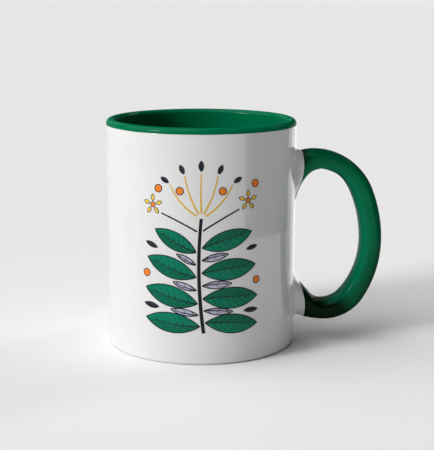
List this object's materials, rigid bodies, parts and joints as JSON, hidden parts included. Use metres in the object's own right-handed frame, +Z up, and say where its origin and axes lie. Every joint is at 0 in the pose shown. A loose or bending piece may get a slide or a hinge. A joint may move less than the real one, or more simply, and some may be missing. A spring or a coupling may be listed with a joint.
{
  "type": "two-tone ceramic mug",
  "caption": "Straight-sided glazed ceramic drinking mug with a looped handle, coloured lining and rim, unglazed foot ring and a printed leaf sprig on the front.",
  "frame": {"origin": "centre of the foot ring, on the plane that the mug stands on", "axes": "+Z up along the cup's axis, +X towards the handle, -Y out of the printed front"},
  "size_m": [0.1171, 0.0802, 0.096],
  "materials": {
    "white_glaze": "glossy white glaze over white stoneware",
    "green_glaze": "glossy deep green glaze",
    "bare_clay": "unglazed fired clay, matt and faintly gritty",
    "dark_ink": "fired dark grey decal ink",
    "leaf_ink": "fired leaf green decal ink",
    "grey_ink": "fired lavender grey decal ink",
    "yellow_ink": "fired warm yellow decal ink",
    "orange_ink": "fired orange decal ink"
  },
  "bodies": {
    "root": {"cup_body": "white_glaze", "foot_ring": "bare_clay", "green_lining": "green_glaze", "handle_loop": "green_glaze", "upper_root": "white_glaze", "lower_root": "white_glaze", "print_stems": "dark_ink", "print_leaves": "leaf_ink", "print_pale_leaves": "grey_ink", "print_petals": "yellow_ink", "print_berries": "orange_ink", "print_veins": "dark_ink"}
  },
  "joints": []
}
